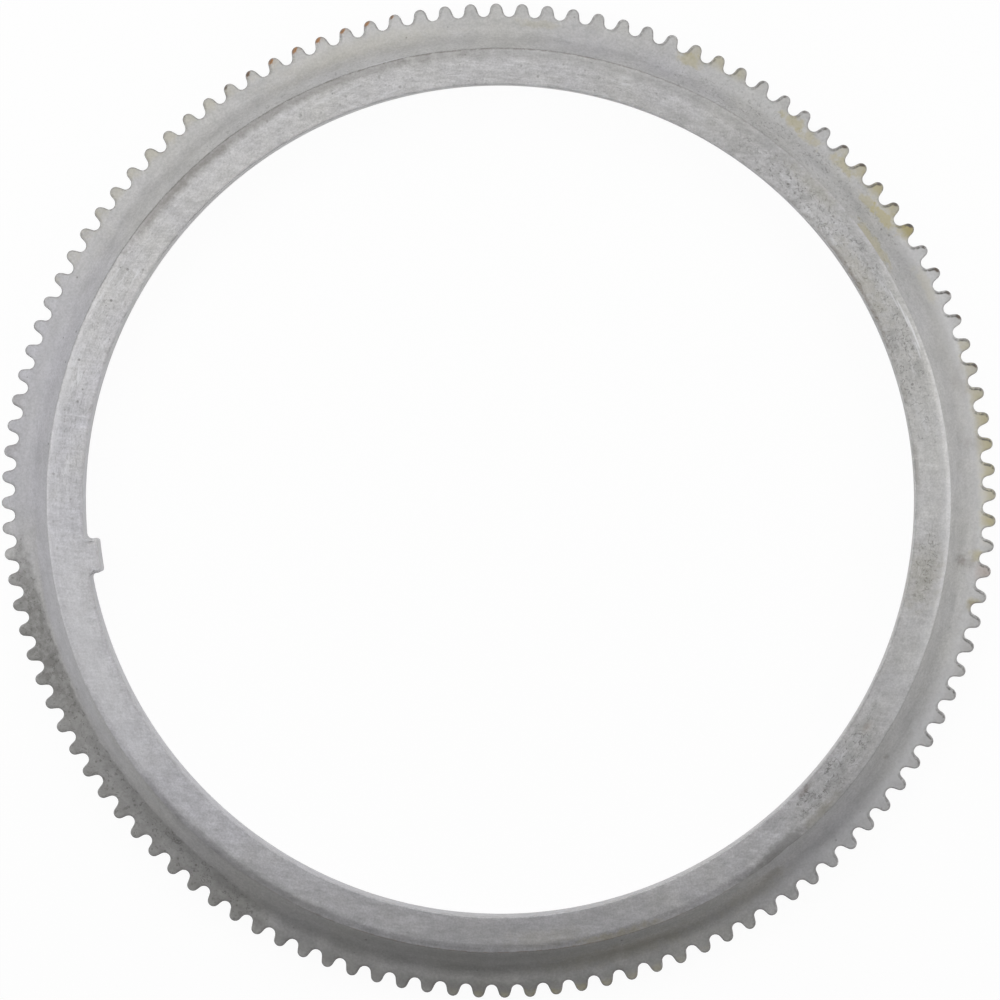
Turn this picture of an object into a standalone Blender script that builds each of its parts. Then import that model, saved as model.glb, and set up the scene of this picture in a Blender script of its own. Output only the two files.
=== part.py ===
"""ABS tone ring: a toothed exciter ring with a raised hub and a key tab in its bore.

The ring is one piece of steel. It lies flat on its back face, which is on Z = 0.
Its axis is the Z axis, its hub land faces +Z and its key tab is on -X.
"""

import math

import bmesh
import bpy
from mathutils import Vector

MM = 0.001

# Bore, which fits over the part that carries the ring
BORE_RADIUS = 95.1 * MM
BORE_CHAMFER = 0.45 * MM

# Key tab, which stands into the bore and drops into a slot of the carrying part
TAB_WIDTH = 7.8 * MM
TAB_PROTRUSION = 2.85 * MM
TAB_ROOT_RADIUS = 1.2 * MM
TAB_CORNER_RADIUS = 0.3 * MM
TAB_DIRECTION = math.pi

# Radial widths of the section, stacked outwards from the bore
LAND_WIDTH = 5.9 * MM
SHOULDER_WIDTH = 2.3 * MM
WALL_RUN = 3.5 * MM
FLANGE_WIDTH = 4.1 * MM
TOOTH_DEPTH = 3.1 * MM

# Heights of the section, stacked upwards from the back face
RIM_THICKNESS = 4.6 * MM
FLANGE_RISE = 1.35 * MM
WALL_RISE = 4.45 * MM
SHOULDER_RISE = 0.6 * MM
VALLEY_FILLET = 1.2 * MM

# Teeth, with round tips, straight flanks and round gaps
TOOTH_COUNT = 120
TIP_ROUND_RADIUS = 1.35 * MM
FLANK_ANGLE = math.radians(14.0)

# Fineness of the curves
STEPS_PER_PITCH = 2
TIP_STEPS = 4
GAP_STEPS = 4
TAB_STEPS = 4
FLANGE_STEPS = 2
FILLET_STEPS = 2
SHOULDER_STEPS = 3
SHARP_ANGLE = math.radians(30.0)

# Matt grey steel
STEEL_COLOUR = (0.46, 0.46, 0.465, 1.0)
STEEL_METALLIC = 0.85
STEEL_ROUGHNESS = 0.55

# Places that follow from the sizes above
LAND_RADIUS = BORE_RADIUS + LAND_WIDTH
CREST_RADIUS = LAND_RADIUS + SHOULDER_WIDTH
VALLEY_RADIUS = CREST_RADIUS + WALL_RUN
GAP_FLOOR_RADIUS = VALLEY_RADIUS + FLANGE_WIDTH
TIP_RADIUS = GAP_FLOOR_RADIUS + TOOTH_DEPTH
VALLEY_HEIGHT = RIM_THICKNESS + FLANGE_RISE
CREST_HEIGHT = VALLEY_HEIGHT + WALL_RISE
LAND_HEIGHT = CREST_HEIGHT + SHOULDER_RISE
PITCH_ANGLE = 2.0 * math.pi / TOOTH_COUNT


def arc(centre, radius, start, end, steps):
    """Points of a circular arc, both ends included."""
    angles = [start + (end - start) * step / steps for step in range(steps + 1)]
    return [centre + radius * Vector((math.cos(angle), math.sin(angle))) for angle in angles]


def turned(points, angle):
    """The points turned about the origin."""
    cosine = math.cos(angle)
    sine = math.sin(angle)
    return [Vector((x * cosine - y * sine, x * sine + y * cosine)) for x, y in points]


def polar(radius, angle):
    """The point at a radius and an angle from the origin."""
    return Vector((radius * math.cos(angle), radius * math.sin(angle)))


def arc_drop(distance, width, drop):
    """Drop of a circular arc at a distance from its level end, given its whole width and drop."""
    radius = (width**2 + drop**2) / (2.0 * drop)
    return radius - math.sqrt(radius**2 - distance**2)


def flange_height(radius):
    """Height of the dished front of the flange and teeth: level at the tips, rising inwards."""
    return RIM_THICKNESS + arc_drop(TIP_RADIUS - radius, FLANGE_WIDTH + TOOTH_DEPTH, FLANGE_RISE)


def shoulder_height(radius):
    """Height of the rounded shoulder: level with the land, falling outwards to the crest."""
    return LAND_HEIGHT - arc_drop(radius - LAND_RADIUS, SHOULDER_WIDTH, SHOULDER_RISE)


def fillet(before, corner, after, radius, steps):
    """Points of the arc of a radius that touches both legs of a corner."""
    to_before = (before - corner).normalized()
    to_after = (after - corner).normalized()
    half_opening = to_before.angle(to_after) / 2.0
    centre = corner + (to_before + to_after).normalized() * radius / math.sin(half_opening)
    reach = radius / math.tan(half_opening)
    start = corner + to_before * reach - centre
    end = corner + to_after * reach - centre
    return [centre + radius * start.slerp(end, step / steps) for step in range(steps + 1)]


def front_section():
    """Section of the front, as (radius, height) from inside the teeth up to the land."""
    flange_step = FLANGE_WIDTH / FLANGE_STEPS
    flange_radii = [GAP_FLOOR_RADIUS - flange_step * step for step in range(1, FLANGE_STEPS)]
    flange = [Vector((radius, flange_height(radius))) for radius in flange_radii]
    dish_radius = VALLEY_RADIUS + VALLEY_FILLET
    dish = Vector((dish_radius, flange_height(dish_radius)))
    valley = Vector((VALLEY_RADIUS, VALLEY_HEIGHT))
    crest = Vector((CREST_RADIUS, CREST_HEIGHT))
    wall_foot = fillet(dish, valley, crest, VALLEY_FILLET, FILLET_STEPS)
    shoulder_step = SHOULDER_WIDTH / SHOULDER_STEPS
    shoulder_radii = [CREST_RADIUS - shoulder_step * step for step in range(1, SHOULDER_STEPS + 1)]
    shoulder = [Vector((radius, shoulder_height(radius))) for radius in shoulder_radii]
    return flange + wall_foot + [crest] + shoulder


def gap_radius():
    """Radius of the arc that touches the gap floor circle and both flanks of a gap."""
    flank_sine = math.sin(FLANK_ANGLE)
    gap_sine = math.sin(FLANK_ANGLE + PITCH_ANGLE / 2.0)
    tip_centre_radius = TIP_RADIUS - TIP_ROUND_RADIUS
    room = GAP_FLOOR_RADIUS * gap_sine - tip_centre_radius * flank_sine - TIP_ROUND_RADIUS
    return room / (1.0 - gap_sine)


def pitch_outline():
    """Outline of one tooth that points to +X, and of the gap that follows it."""
    quarter = math.pi / 2.0
    tip_centre = polar(TIP_RADIUS - TIP_ROUND_RADIUS, 0.0)
    tip_end = quarter - FLANK_ANGLE
    tip = arc(tip_centre, TIP_ROUND_RADIUS, -tip_end, tip_end, TIP_STEPS)
    radius = gap_radius()
    gap_centre = polar(GAP_FLOOR_RADIUS + radius, PITCH_ANGLE / 2.0)
    gap_start = 3.0 * quarter - FLANK_ANGLE
    gap_end = quarter + FLANK_ANGLE + PITCH_ANGLE
    return tip + arc(gap_centre, radius, gap_start, gap_end, GAP_STEPS)


def tooth_outline():
    """Outline of the whole toothed rim, with a gap in line with the key tab."""
    outline = []
    for tooth in range(TOOTH_COUNT):
        outline += turned(pitch_outline(), TAB_DIRECTION + (tooth + 0.5) * PITCH_ANGLE)
    return outline


def circle_outline(radius):
    """Outline of a round step of the section."""
    steps = STEPS_PER_PITCH * TOOTH_COUNT
    return [polar(radius, TAB_DIRECTION + PITCH_ANGLE * step / STEPS_PER_PITCH) for step in range(steps)]


def bore_outline(inset):
    """Outline of the bore and its key tab, set into the metal by the depth of an edge break.

    Each arc keeps its centre at every depth, so that the chamfer between two outlines is even.
    """
    half_width = TAB_WIDTH / 2.0
    tab_tip = BORE_RADIUS - TAB_PROTRUSION
    wall_corner = TAB_CORNER_RADIUS + BORE_CHAMFER
    corner_angle = math.asin((half_width - wall_corner) / (tab_tip + wall_corner))
    root_angle = math.asin((half_width + TAB_ROOT_RADIUS) / (BORE_RADIUS - TAB_ROOT_RADIUS))
    corner_centre = polar(tab_tip + wall_corner, corner_angle)
    root_centre = polar(BORE_RADIUS - TAB_ROOT_RADIUS, root_angle)
    quarter = math.pi / 2.0
    corner = arc(corner_centre, wall_corner - inset, math.pi + corner_angle, quarter, TAB_STEPS)
    root = arc(root_centre, TAB_ROOT_RADIUS + inset, -quarter, root_angle, TAB_STEPS)
    side = corner + root
    other_side = [Vector((x, -y)) for x, y in reversed(side)]
    axis = Vector((0.0, 0.0))
    tip = arc(axis, tab_tip + inset, -corner_angle, corner_angle, TAB_STEPS)
    wall_steps = STEPS_PER_PITCH * TOOTH_COUNT
    wall = arc(axis, BORE_RADIUS + inset, root_angle, 2.0 * math.pi - root_angle, wall_steps)
    return turned(side + wall[1:-1] + other_side + tip[1:-1], TAB_DIRECTION)


def add_loop(mesh, outline, height_at):
    """Closed loop of edges along an outline, at the height that belongs to each point's radius."""
    corners = [mesh.verts.new((point.x, point.y, height_at(point.length))) for point in outline]
    return [mesh.edges.new((corners[place - 1], corner)) for place, corner in enumerate(corners)]


def add_level_loop(mesh, outline, height):
    """Closed loop of edges along an outline, all at one height."""
    return add_loop(mesh, outline, lambda radius: height)


def build_surface(mesh):
    """Skin of the ring, in bands between loops that run from the teeth to the bore and back."""
    back_teeth = add_level_loop(mesh, tooth_outline(), 0.0)
    front = [back_teeth, add_loop(mesh, tooth_outline(), flange_height)]
    for radius, height in front_section():
        front.append(add_level_loop(mesh, circle_outline(radius), height))
    land_edge = add_level_loop(mesh, bore_outline(BORE_CHAMFER), LAND_HEIGHT)
    back_edge = add_level_loop(mesh, bore_outline(BORE_CHAMFER), 0.0)
    wall_top = add_level_loop(mesh, bore_outline(0.0), LAND_HEIGHT - BORE_CHAMFER)
    wall_foot = add_level_loop(mesh, bore_outline(0.0), BORE_CHAMFER)
    bore = [land_edge, wall_top, wall_foot, back_edge]
    for loops in (front, bore):
        for outer, inner in zip(loops, loops[1:]):
            bmesh.ops.bridge_loops(mesh, edges=outer + inner)
    for rim, hole in ((front[-1], land_edge), (back_teeth, back_edge)):
        bmesh.ops.triangle_fill(mesh, edges=rim + hole, use_beauty=True)
    bmesh.ops.triangulate(mesh, faces=mesh.faces)
    bmesh.ops.recalc_face_normals(mesh, faces=mesh.faces)


def steel_material():
    """Matt grey steel of the whole ring."""
    material = bpy.data.materials.new("ring_steel")
    material.use_nodes = True
    shader = material.node_tree.nodes["Principled BSDF"]
    shader.inputs["Base Color"].default_value = STEEL_COLOUR
    shader.inputs["Metallic"].default_value = STEEL_METALLIC
    shader.inputs["Roughness"].default_value = STEEL_ROUGHNESS
    return material


def build_tone_ring():
    """The ring as one object."""
    surface = bmesh.new()
    build_surface(surface)
    data = bpy.data.meshes.new("tone_ring")
    surface.to_mesh(data)
    surface.free()
    data.shade_smooth()
    data.set_sharp_from_angle(angle=SHARP_ANGLE)
    data.materials.append(steel_material())
    bpy.context.scene.collection.objects.link(bpy.data.objects.new("tone_ring", data))


for old_object in list(bpy.data.objects):
    bpy.data.objects.remove(old_object)
build_tone_ring()
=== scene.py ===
"""Finish and studio of an ABS tone ring.

The ring is one piece of steel: a toothed rim with a dished front, a coned wall that climbs to a
raised hub, and a bore with one key tab. This script gives it a fine skin on the same sizes, with
the broken and rolled edges, the burrs and the dent of a used ring, and then its steel, stains and
rust, with some light and shade painted into its colours. Lengths are in metres. Places round the
ring are angles anticlockwise from the key tab.
"""

import math
import random
from collections import namedtuple

import bmesh
import bpy
from bpy.props import FloatProperty, FloatVectorProperty, IntProperty, PointerProperty
from bpy.types import NodeSocket, Operator, Panel, PropertyGroup
from mathutils import Matrix, Vector, noise


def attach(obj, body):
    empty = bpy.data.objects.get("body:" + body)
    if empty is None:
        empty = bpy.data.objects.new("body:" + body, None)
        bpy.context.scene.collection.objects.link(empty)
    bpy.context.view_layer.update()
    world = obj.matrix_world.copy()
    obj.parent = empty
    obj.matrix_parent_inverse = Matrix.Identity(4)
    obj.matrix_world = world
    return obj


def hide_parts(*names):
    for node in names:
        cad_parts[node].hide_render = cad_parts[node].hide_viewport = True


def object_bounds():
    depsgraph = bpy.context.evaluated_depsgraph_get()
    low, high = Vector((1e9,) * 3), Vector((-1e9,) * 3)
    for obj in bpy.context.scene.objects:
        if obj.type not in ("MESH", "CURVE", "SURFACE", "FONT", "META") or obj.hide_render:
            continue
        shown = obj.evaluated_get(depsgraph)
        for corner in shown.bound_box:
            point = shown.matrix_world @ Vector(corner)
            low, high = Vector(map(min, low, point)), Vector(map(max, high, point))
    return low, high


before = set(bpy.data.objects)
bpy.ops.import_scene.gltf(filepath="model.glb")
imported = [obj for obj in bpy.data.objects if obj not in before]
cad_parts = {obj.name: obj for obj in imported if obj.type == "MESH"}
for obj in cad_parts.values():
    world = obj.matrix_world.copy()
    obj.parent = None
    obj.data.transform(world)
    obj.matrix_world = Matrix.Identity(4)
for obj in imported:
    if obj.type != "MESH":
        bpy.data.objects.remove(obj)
CAD_LOW, CAD_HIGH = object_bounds()

bl_info = {
    "name": "Tone Ring",
    "version": (1, 0, 0),
    "blender": (4, 5, 0),
    "location": "View3D > Sidebar > Tone Ring",
    "description": "Builds the finished skin, steel and studio of a toothed ABS tone ring",
    "category": "Object",
}

MM = 0.001
RING_NODE = "tone_ring"
RING_PIECE = "tone_ring_skin"
HALF_TURN = math.pi
QUARTER = math.pi / 2.0

# Fineness of the skin: columns of points for each tooth pitch
TIP_STEPS = 10
HALF_GAP_STEPS = 4
FINE_COLUMNS = TIP_STEPS + 2 * HALF_GAP_STEPS + 2
ROUND_COLUMNS = FINE_COLUMNS // 2
TAB_TIP_STEPS = 4
TAB_CORNER_STEPS = 3
TAB_ROOT_STEPS = 4


def length_property(name, description, default):
    """A length in metres, shown as a distance."""
    return FloatProperty(name=name, description=description, default=default, unit="LENGTH", precision=6)


def angle_property(name, description, degrees):
    """An angle, shown in degrees."""
    return FloatProperty(name=name, description=description, default=math.radians(degrees), unit="ROTATION")


def share_property(name, description, default):
    """A number between nothing and all."""
    return FloatProperty(name=name, description=description, default=default, min=0.0, max=1.0)


def strength_property(name, description, default):
    """A number from zero up."""
    return FloatProperty(name=name, description=description, default=default, min=0.0)


def colour_property(name, description, default):
    """A linear colour."""
    return FloatVectorProperty(
        name=name, description=description, default=default, size=3, subtype="COLOR", min=0.0, max=1.0
    )


class RingShape(PropertyGroup):
    """Sizes of the ring, measured inwards from its tips and upwards from its back."""

    reach: length_property("Reach", "Half width of the ring over its teeth", CAD_HIGH.x)
    height: length_property("Height", "Height of the hub land over the back", CAD_HIGH.z - CAD_LOW.z)
    tooth_count: IntProperty(name="Teeth", description="Number of teeth", default=120, min=3)
    tip_round: length_property("Tip Round", "Radius of the round tooth tip", 1.35 * MM)
    flank_angle: angle_property("Flank Angle", "Lean of each tooth flank", 14.0)
    tooth_depth: length_property("Tooth Depth", "From the tips to the gap floors", 3.1 * MM)
    flange_width: length_property("Flange Width", "From the gap floors to the foot of the wall", 4.1 * MM)
    wall_run: length_property("Wall Run", "Width of the coned wall", 3.5 * MM)
    shoulder_width: length_property("Shoulder Width", "From the crest to the land", 2.3 * MM)
    land_width: length_property("Land Width", "From the shoulder to the bore", 5.9 * MM)
    rim_thickness: length_property("Rim Thickness", "Thickness at the tooth tips", 4.6 * MM)
    flange_rise: length_property("Flange Rise", "Rise of the dished front from the tips", 1.35 * MM)
    shoulder_rise: length_property("Shoulder Rise", "Rise of the rounded shoulder", 0.6 * MM)
    valley_fillet: length_property("Valley Fillet", "Radius between flange and wall", 7.0 * MM)
    bore_chamfer: length_property("Bore Chamfer", "Edge break of the bore", 0.16 * MM)
    tab_width: length_property("Tab Width", "Width of the key tab", 7.8 * MM)
    tab_protrusion: length_property("Tab Protrusion", "Reach of the key tab into the bore", 2.85 * MM)
    tab_root: length_property("Tab Root", "Radius at the foot of the key tab", 1.2 * MM)
    tab_corner: length_property("Tab Corner", "Radius of the key tab's corners at the bore wall", 0.75 * MM)
    tab_direction: angle_property("Tab Direction", "Where the key tab stands", 180.0)


class RingWear(PropertyGroup):
    """Edges, burrs and dents that years of use and handling left."""

    edge_break: length_property("Edge Break", "Rounding of the tooth edges", 0.22 * MM)
    rolled_edge: length_property("Rolled Edge", "Width of the rolled edge of the teeth", 0.44 * MM)
    tip_wear: length_property("Tip Wear", "Most that a tooth tip has lost", 0.09 * MM)
    tooth_lean: angle_property("Tooth Lean", "Most that a tooth stands off its pitch", 0.035)
    pitch_lead: angle_property("Pitch Lead", "How far all teeth stand ahead of an even pitch", 0.2)
    pitch_drift: angle_property("Pitch Drift", "How far the teeth gain and lose round the ring", 0.4)
    drift_place: angle_property("Drift Place", "Where the teeth have gained most", 129.0)
    crest_lip: length_property("Crest Lip", "Height of the burr along the crest", 0.09 * MM)
    crest_wander: length_property("Crest Wander", "Wander of the crest line", 0.09 * MM)
    hub_shift: length_property("Hub Shift", "How far the hub is turned off the axis of the teeth", 0.27 * MM)
    shift_place: angle_property("Shift Place", "Side to which the hub is off the axis", 217.0)
    dent_depth: length_property("Dent Depth", "How far the crest is knocked in", 0.35 * MM)
    waviness: length_property("Waviness", "Unevenness of the forged front", 0.045 * MM)
    seed: IntProperty(name="Seed", description="Changes the wear of each tooth", default=7)


class RingFinish(PropertyGroup):
    """Colours and gloss of the steel, of what lies on it, and of the light and shade painted on it."""

    cool_steel: colour_property("Cool Steel", "Bare steel, bluish side", (0.462, 0.458, 0.481))
    warm_steel: colour_property("Warm Steel", "Bare steel, yellowish side", (0.465, 0.459, 0.445))
    # This colour is also painted shade: on the flange beside the tab and at the dent below the crest
    scale_grey: colour_property("Scale", "Dark forging scale", (0.222, 0.218, 0.208))
    # This colour is also painted shade: its broad patches darken the front and the hub where less light falls
    film: colour_property("Film", "Dried film of oil and dirt", (0.205, 0.200, 0.188))
    rust: colour_property("Rust", "Fresh rust", (0.400, 0.205, 0.088))
    brown: colour_property("Brown", "Old rust and burnt oil", (0.120, 0.085, 0.062))
    yellow: colour_property("Yellow", "Dried oil", (0.455, 0.398, 0.196))
    # This colour is also painted shade: the dark line along the crest
    dirt: colour_property("Dirt", "Dirt in pits and creases", (0.120, 0.115, 0.105))
    # This colour is also painted light: its broad patches lighten the tooth roots, the shoulder and the land
    # where more light falls
    bright: colour_property("Bright", "Rubbed edges", (0.720, 0.720, 0.735))
    forged_lightness: strength_property("Forged Lightness", "How light the blasted steel is", 1.05)
    machined_lightness: strength_property("Machined Lightness", "How light the ground steel is", 1.17)
    metallic: share_property("Metallic", "How metallic the bare steel is", 0.40)
    roughness: share_property("Roughness", "Gloss of the blasted steel", 0.55)


class Studio(PropertyGroup):
    """Camera, lamps and floor."""

    camera_height: length_property("Camera Height", "Height of the camera over the floor", 1.9)
    camera_up: length_property("Camera Up", "Shift of the camera towards the picture's top", 0.039)
    camera_right: length_property("Camera Right", "Shift of the camera towards the picture's right", 0.052)
    aim_up: length_property("Aim Up", "Aim point, towards the picture's top", 0.00021)
    aim_right: length_property("Aim Right", "Aim point, towards the picture's right", 0.000325)
    picture_turn: angle_property("Picture Turn", "Turn of the ring in the picture", 7.78)
    lens: FloatProperty(name="Lens", description="Focal length in millimetres", default=298.0)
    top_lamp: strength_property("Top Lamp", "Power of the softbox past the picture's top in watts", 3.3)
    right_lamp: strength_property("Right Lamp", "Power of the near right softbox in watts", 0.79)
    left_lamp: strength_property("Left Lamp", "Power of the near left softbox in watts", 0.55)
    upper_left_lamp: strength_property("Upper Left Lamp", "Power of the upper left softbox in watts", 0.35)
    high_left_lamp: strength_property("High Left Lamp", "Power of the high left softbox in watts", 0.31)
    high_right_lamp: strength_property("High Right Lamp", "Power of the high right softbox in watts", 0.19)
    overhead: strength_property("Overhead Lamp", "Power of the lamp over the ring in watts", 0.18)
    sky: strength_property("Sky", "Strength of the pale surroundings", 0.0)
    floor_colour: colour_property("Floor", "Pale floor", (0.82, 0.82, 0.82))
    floor_seen: share_property("Floor Seen", "Share of plain white that the camera sees in the floor", 0.96)
    floor_mirrored: share_property("Floor Mirrored", "Share of plain white in the floor's mirror image", 0.86)


# Places that follow from the sizes


def smooth(value):
    """Smooth step from 0 to 1 over 0 to 1."""
    clipped = min(max(value, 0.0), 1.0)
    return clipped * clipped * (3.0 - 2.0 * clipped)


def mix(first, second, share):
    """Value between two others."""
    return first + (second - first) * share


def polar(radius, angle):
    """The point at a radius and an angle from the axis."""
    return Vector((radius * math.cos(angle), radius * math.sin(angle)))


def turned(point, angle):
    """The point turned about the axis."""
    cosine = math.cos(angle)
    sine = math.sin(angle)
    return Vector((point.x * cosine - point.y * sine, point.x * sine + point.y * cosine))


def window(angle, middle, reach):
    """Smooth hump of height 1 round an angle, zero past its reach, with all angles in degrees."""
    distance = abs((angle - middle + 180.0) % 360.0 - 180.0)
    return smooth(1.0 - distance / reach)


def wander(angle, pace, seed):
    """Wandering value between about -1 and 1 that closes on itself round the ring."""
    return noise.noise(Vector((math.cos(angle) * pace, math.sin(angle) * pace, seed)))


class Section:
    """Radii and heights of the ring's section."""

    def __init__(self, shape):
        self.shape = shape
        self.pitch = 2.0 * math.pi / shape.tooth_count
        # The teeth beside the tab's direction set the half width, half a pitch off it
        tip_centre = (shape.reach - shape.tip_round) / math.cos(self.pitch / 2.0)
        self.tip = tip_centre + shape.tip_round
        self.gap_floor = self.tip - shape.tooth_depth
        self.valley = self.gap_floor - shape.flange_width
        self.crest = self.valley - shape.wall_run
        self.land = self.crest - shape.shoulder_width
        self.bore = self.land - shape.land_width
        self.valley_height = shape.rim_thickness + shape.flange_rise
        self.crest_height = shape.height - shape.shoulder_rise

    def flange_height(self, radius):
        """Height of the dished front: level at the tips, rising inwards on an arc."""
        shape = self.shape
        width = shape.flange_width + shape.tooth_depth
        return shape.rim_thickness + arc_drop(self.tip - radius, width, shape.flange_rise)

    def hub_height(self, radius, share):
        """Height of the hub front: level on the land, then falling evenly to the crest.

        The share narrows the shoulder where the land was turned nearly out to the crest.
        """
        shape = self.shape
        width = shape.shoulder_width * share
        easing = HUB_EASING * width
        distance = min(max(radius - self.crest + width, 0.0), width + shape.wall_run)
        fall = math.hypot(distance, easing) - easing
        return shape.height - shape.shoulder_rise * share * fall / (math.hypot(width, easing) - easing)

    def gap_radius(self):
        """Radius of the arc that touches the gap floor and both flanks of a gap."""
        shape = self.shape
        gap_sine = math.sin(shape.flank_angle + self.pitch / 2.0)
        tip_centre = self.tip - shape.tip_round
        room = self.gap_floor * gap_sine - tip_centre * math.sin(shape.flank_angle) - shape.tip_round
        return room / (1.0 - gap_sine)


def arc_drop(distance, width, drop):
    """Drop of a circular arc at a distance from its level end, given its whole width and drop."""
    radius = (width**2 + drop**2) / (2.0 * drop)
    return radius - math.sqrt(radius**2 - distance**2)


def fillet(before, corner, after, radius, steps):
    """Points of the arc of a radius that touches both legs of a corner."""
    to_before = (before - corner).normalized()
    to_after = (after - corner).normalized()
    half_opening = to_before.angle(to_after) / 2.0
    centre = corner + (to_before + to_after).normalized() * radius / math.sin(half_opening)
    reach = radius / math.tan(half_opening)
    start = corner + to_before * reach - centre
    end = corner + to_after * reach - centre
    return [centre + radius * start.slerp(end, step / steps) for step in range(steps + 1)]


# Rows of the skin, each one a closed loop of points round the axis

MACHINED, FORGED = 0, 1
Row = namedtuple("Row", "points dirt rubbed rust finish")
RimPoint = namedtuple("RimPoint", "centre direction radius inward roll rust")
HubPoint = namedtuple("HubPoint", "radius height dirt rubbed rust finish", defaults=(0.0, 0.0, 0.0, FORGED))
Knock = namedtuple("Knock", "place reach depth")
Zone = namedtuple("Zone", "strength middle reach power", defaults=(1.0,))

# Where the teeth's columns leave the outline, and where they end inside the gap floors
TOOTH_FACE_INSET = 0.8 * MM
ROUND_ROW_INSET = 1.4 * MM
TOOTH_FACE_SHARES = (0.0, 0.3, 0.6, 0.85, 1.0)
BACK_SHARES = (0.0, 0.3, 0.6, 0.8)

# The crest in millimetres: how far down the wall or inwards its rows lie, first where it is sharp
# and then what they gain where it is worn soft
WALL_END = (0.40, 0.9)
CREST_OUTER = (0.12, 0.45)
CREST_INNER = (0.20, 0.0)
CREST_GROOVE = (0.45, 0.0)
CREST_END = (0.75, 0.4)
CREST_CUT = 0.22
LEAST_SOFTNESS = 0.04
# The least width of the shoulder, and the width from which its slope is taken
LEAST_SHOULDER = 1.6 * MM
SLOPE_WIDTH = 0.6 * MM
# How soon the hub's front bends down to the crest, in widths of the shoulder
HUB_EASING = 0.40

HUB_FOOT_STEPS = 7
SHOULDER_STEPS = 5
LAND_STEPS = 6
# How far inside the bore's edge the land and the back end, in widths of the edge break
BORE_RIM_WIDTHS = 4.0
# How far inside the teeth's edge the back ends, in widths of the edge break
BACK_RIM_WIDTHS = 3.0

# Where the crest is knocked in: degrees from the tab, and shares of the deepest knock
KNOCKS = (
    Knock(117.0, 5.5, 0.52),
    Knock(121.9, 4.2, 1.00),
)

# How strong each kind of wear, and the highlight and shade painted along the crest, is round the ring: the
# least of it, and its zones in degrees from the tab
WEAR_AND_CREST_LIGHT_ZONES = {
    "tooth_roll": (0.12, Zone(1.0, 185.0, 80.0, 0.4), Zone(0.35, 280.0, 70.0)),
    "tooth_old_rust": (0.0, Zone(1.4, 202.0, 34.0, 0.5), Zone(0.6, 312.0, 45.0)),
    "tooth_fresh_rust": (0.0, Zone(2.0, 284.5, 12.5, 0.3)),
    "crest_lip": (0.25, Zone(1.0, 282.0, 65.0, 0.5), Zone(0.5, 82.0, 45.0, 0.5)),
    "crest_dirt_and_shade": (0.08, Zone(0.95, 285.0, 68.0, 0.3), Zone(0.30, 82.0, 45.0, 0.4), Zone(0.4, 140.0, 30.0)),
    "crest_rust": (0.0, Zone(0.55, 82.0, 40.0, 0.4), Zone(0.15, 250.0, 80.0)),
    "crest_highlight": (0.15, Zone(0.5, 2.0, 42.0, 0.5), Zone(0.7, 82.0, 42.0, 0.5), Zone(0.5, 186.0, 36.0, 0.5)),
    "bore_dirt": (0.3, Zone(1.0, 200.0, 50.0, 0.5), Zone(0.8, 150.0, 40.0, 0.5)),
    "bore_shine": (0.10, Zone(1.3, 255.0, 110.0, 0.4)),
    "bore_rust": (0.05, Zone(0.30, 196.0, 50.0, 0.5), Zone(0.36, 105.0, 60.0, 0.5)),
}


def worn(kind, from_tab):
    """How strong one kind of the zones table is at an angle in degrees: wear, and along the crest also
    painted highlight and shade.
    """
    least, *zones = WEAR_AND_CREST_LIGHT_ZONES[kind]
    shares = [zone.strength * window(from_tab, zone.middle, zone.reach) ** zone.power for zone in zones]
    return max(least, *shares)


def plain_row(points, finish=FORGED):
    """A row without darkening, rubbing, painted highlight or rust."""
    none = [0.0] * len(points)
    return Row(points, none, none, none, finish)


def rim_points(section, wear):
    """The toothed outline as points on arcs, so that it can be set in by any depth."""
    shape = section.shape
    chance = random.Random(wear.seed)
    tip_sweep = QUARTER - shape.flank_angle
    gap_sweep = QUARTER - shape.flank_angle - section.pitch / 2.0
    gap_radius = section.gap_radius()
    points = []
    for tooth in range(shape.tooth_count):
        gap_angle = shape.tab_direction + drifted(wear, tooth * section.pitch)
        next_gap_angle = shape.tab_direction + drifted(wear, (tooth + 1) * section.pitch)
        from_tab = math.degrees((tooth + 0.5) * section.pitch)
        roll = tooth_roll(from_tab, chance)
        rust = tooth_rust(from_tab, chance)
        cut = wear.tip_wear * (0.45 + 0.55 * chance.random() ** 2)
        lean = wear.tooth_lean * chance.uniform(-1.0, 1.0)
        tip_angle = (gap_angle + next_gap_angle) / 2.0 + lean
        gap_centre = polar(section.gap_floor + gap_radius, gap_angle)
        next_gap_centre = polar(section.gap_floor + gap_radius, next_gap_angle)
        tip_centre = polar(section.tip - shape.tip_round - cut, tip_angle)
        for step in range(HALF_GAP_STEPS + 1):
            angle = HALF_TURN - gap_sweep * step / HALF_GAP_STEPS
            points.append(RimPoint(gap_centre, polar(1.0, gap_angle + angle), gap_radius, -1.0, 0.0, 0.0))
        for step in range(TIP_STEPS + 1):
            angle = tip_sweep * (2.0 * step / TIP_STEPS - 1.0)
            side = smooth(math.degrees(angle) / 60.0 + 0.35)
            corner = window(math.degrees(angle), 30.0, 80.0)
            direction = polar(1.0, tip_angle + angle)
            points.append(RimPoint(tip_centre, direction, shape.tip_round, 1.0, roll * side, rust * corner))
        for step in range(HALF_GAP_STEPS, 0, -1):
            angle = HALF_TURN + gap_sweep * step / HALF_GAP_STEPS
            side = roll * smooth(step / HALF_GAP_STEPS)
            direction = polar(1.0, next_gap_angle + angle)
            points.append(RimPoint(next_gap_centre, direction, gap_radius, -1.0, side, 0.0))
    return points


def drifted(wear, from_tab):
    """Where a gap stands whose even place is an angle from the tab."""
    return from_tab + wear.pitch_lead + wear.pitch_drift * math.cos(from_tab - wear.drift_place)


def tooth_roll(from_tab, chance):
    """How far the leading edge of a tooth is rolled over."""
    return worn("tooth_roll", from_tab) * chance.uniform(0.75, 1.0)


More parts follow.
